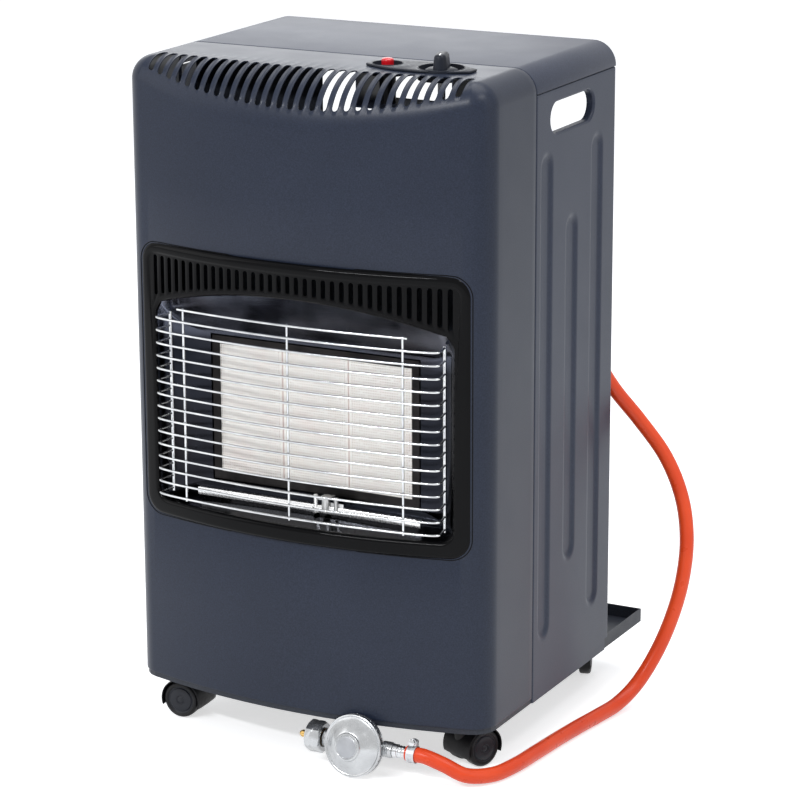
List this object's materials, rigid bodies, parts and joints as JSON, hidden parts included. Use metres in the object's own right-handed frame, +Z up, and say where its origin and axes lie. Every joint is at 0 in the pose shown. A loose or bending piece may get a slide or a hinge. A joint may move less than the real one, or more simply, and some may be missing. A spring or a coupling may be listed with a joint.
{
  "type": "portable gas cabinet heater",
  "caption": "Wheeled gas cabinet heater with a bowed louvred shell, ceramic radiant burner behind a wire guard, side grips, tray for a gas bottle, hose and regulator.",
  "frame": {"origin": "on the floor, under the middle of the heater's box without its hose and regulator", "axes": "+Z up, -Y towards the front where the burner is, +X to the viewer's right"},
  "size_m": [0.5091, 0.4586, 0.7476],
  "materials": {
    "navy_paint": "fine-textured satin powder coat",
    "slate_paint": "fine-textured satin powder coat",
    "dark_paint": "satin",
    "zinc_steel": "zinc plated, satin",
    "black_enamel": "gloss enamel",
    "mirror_steel": "polished, heat tinted",
    "dark_steel": "heat darkened",
    "ceramic": "matt, pierced",
    "chrome_wire": "bright",
    "grey_plastic": "fine grain",
    "black_plastic": "fine grain",
    "red_plastic": "gloss",
    "brass": "bright",
    "pipe_alloy": "drawn tube",
    "cast_zinc": "die cast, bead blasted",
    "orange_rubber": "satin"
  },
  "bodies": {
    "cabinet": {"front_shell": "navy_paint", "lid": "slate_paint", "right_side_panel": "slate_paint", "left_side_panel": "slate_paint", "base_tray": "dark_paint", "heat_shield": "zinc_steel", "draught_baffle": "dark_paint", "bezel": "black_enamel", "burner_housing": "dark_paint", "reflector": "mirror_steel", "burner_frame": "dark_steel", "ceramic_plaque_left": "ceramic", "ceramic_plaque_centre": "ceramic", "ceramic_plaque_right": "ceramic", "burner_plenum": "zinc_steel", "wire_guard": "chrome_wire", "control_escutcheon": "grey_plastic", "tap_bracket": "slate_paint", "gas_tap": "brass", "piezo_igniter": "black_plastic", "burner_pipe": "pipe_alloy", "supply_pipe": "pipe_alloy", "inlet_nozzle": "brass", "pilot_burner": "zinc_steel", "thermocouple": "chrome_wire", "regulator_cap": "cast_zinc", "regulator_body": "cast_zinc", "regulator_nozzle": "brass", "regulator_outlet": "chrome_wire", "outlet_hose_clip": "zinc_steel", "hose": "orange_rubber", "inlet_hose_clip": "zinc_steel", "caster_stem_front_left": "zinc_steel", "caster_stem_front_right": "zinc_steel", "caster_stem_rear_left": "zinc_steel", "caster_stem_rear_right": "zinc_steel"},
    "caster_front_left": {"caster_housing_front_left": "black_plastic", "caster_axle_front_left": "zinc_steel"},
    "wheel_front_left_a": {"caster_wheel_front_left_a": "black_plastic"},
    "wheel_front_left_b": {"caster_wheel_front_left_b": "black_plastic"},
    "caster_front_right": {"caster_housing_front_right": "black_plastic", "caster_axle_front_right": "zinc_steel"},
    "wheel_front_right_a": {"caster_wheel_front_right_a": "black_plastic"},
    "wheel_front_right_b": {"caster_wheel_front_right_b": "black_plastic"},
    "caster_rear_left": {"caster_housing_rear_left": "black_plastic", "caster_axle_rear_left": "zinc_steel"},
    "wheel_rear_left_a": {"caster_wheel_rear_left_a": "black_plastic"},
    "wheel_rear_left_b": {"caster_wheel_rear_left_b": "black_plastic"},
    "caster_rear_right": {"caster_housing_rear_right": "black_plastic", "caster_axle_rear_right": "zinc_steel"},
    "wheel_rear_right_a": {"caster_wheel_rear_right_a": "black_plastic"},
    "wheel_rear_right_b": {"caster_wheel_rear_right_b": "black_plastic"},
    "igniter_push": {"igniter_button": "red_plastic"},
    "knob_push": {"knob_spindle": "zinc_steel"},
    "knob_turn": {"knob": "grey_plastic"},
    "union_nut": {"regulator_nut": "cast_zinc"}
  },
  "joints": [
    {"name": "swivel_front_left", "type": "hinge", "parent": "cabinet", "child": "caster_front_left", "pos_m": [-0.162, -0.1375, 0.05], "axis": [0, 0, 1], "continuous": true},
    {"name": "roll_front_left_a", "type": "hinge", "parent": "caster_front_left", "child": "wheel_front_left_a", "pos_m": [-0.17398, -0.13813, 0.02], "axis": [-0.0523, 0.9986, 0], "continuous": true},
    {"name": "roll_front_left_b", "type": "hinge", "parent": "caster_front_left", "child": "wheel_front_left_b", "pos_m": [-0.17398, -0.13813, 0.02], "axis": [-0.0523, 0.9986, 0], "continuous": true},
    {"name": "swivel_front_right", "type": "hinge", "parent": "cabinet", "child": "caster_front_right", "pos_m": [0.162, -0.1375, 0.05], "axis": [0, 0, 1], "continuous": true},
    {"name": "roll_front_right_a", "type": "hinge", "parent": "caster_front_right", "child": "wheel_front_right_a", "pos_m": [0.16669, -0.12645, 0.02], "axis": [0.9205, -0.3907, 0], "continuous": true},
    {"name": "roll_front_right_b", "type": "hinge", "parent": "caster_front_right", "child": "wheel_front_right_b", "pos_m": [0.16669, -0.12645, 0.02], "axis": [0.9205, -0.3907, 0], "continuous": true},
    {"name": "swivel_rear_left", "type": "hinge", "parent": "cabinet", "child": "caster_rear_left", "pos_m": [-0.146, 0.176, 0.05], "axis": [0, 0, 1], "continuous": true},
    {"name": "roll_rear_left_a", "type": "hinge", "parent": "caster_rear_left", "child": "wheel_rear_left_a", "pos_m": [-0.152, 0.16561, 0.02], "axis": [-0.866, 0.5, 0], "continuous": true},
    {"name": "roll_rear_left_b", "type": "hinge", "parent": "caster_rear_left", "child": "wheel_rear_left_b", "pos_m": [-0.152, 0.16561, 0.02], "axis": [-0.866, 0.5, 0], "continuous": true},
    {"name": "swivel_rear_right", "type": "hinge", "parent": "cabinet", "child": "caster_rear_right", "pos_m": [0.146, 0.176, 0.05], "axis": [0, 0, 1], "continuous": true},
    {"name": "roll_rear_right_a", "type": "hinge", "parent": "caster_rear_right", "child": "wheel_rear_right_a", "pos_m": [0.1501, 0.16472, 0.02], "axis": [-0.9397, -0.342, 0], "continuous": true},
    {"name": "roll_rear_right_b", "type": "hinge", "parent": "caster_rear_right", "child": "wheel_rear_right_b", "pos_m": [0.1501, 0.16472, 0.02], "axis": [-0.9397, -0.342, 0], "continuous": true},
    {"name": "igniter_press", "type": "slide", "parent": "cabinet", "child": "igniter_push", "axis": [0, 0, 1], "range_m": [-0.005, 0], "stiffness_N_per_m": 600, "springref_m": 0.004},
    {"name": "knob_press", "type": "slide", "parent": "cabinet", "child": "knob_push", "axis": [0, 0, 1], "range_m": [-0.004, 0], "stiffness_N_per_m": 1500, "springref_m": 0.003},
    {"name": "knob_rotate", "type": "hinge", "parent": "knob_push", "child": "knob_turn", "pos_m": [0.126, -0.1175, 0.73], "axis": [0, 0, 1], "range_deg": [0, 240]},
    {"name": "nut_spin", "type": "hinge", "parent": "cabinet", "child": "union_nut", "pos_m": [0.0259, -0.20747, 0.03133], "axis": [1, 0, 0], "continuous": true}
  ]
}
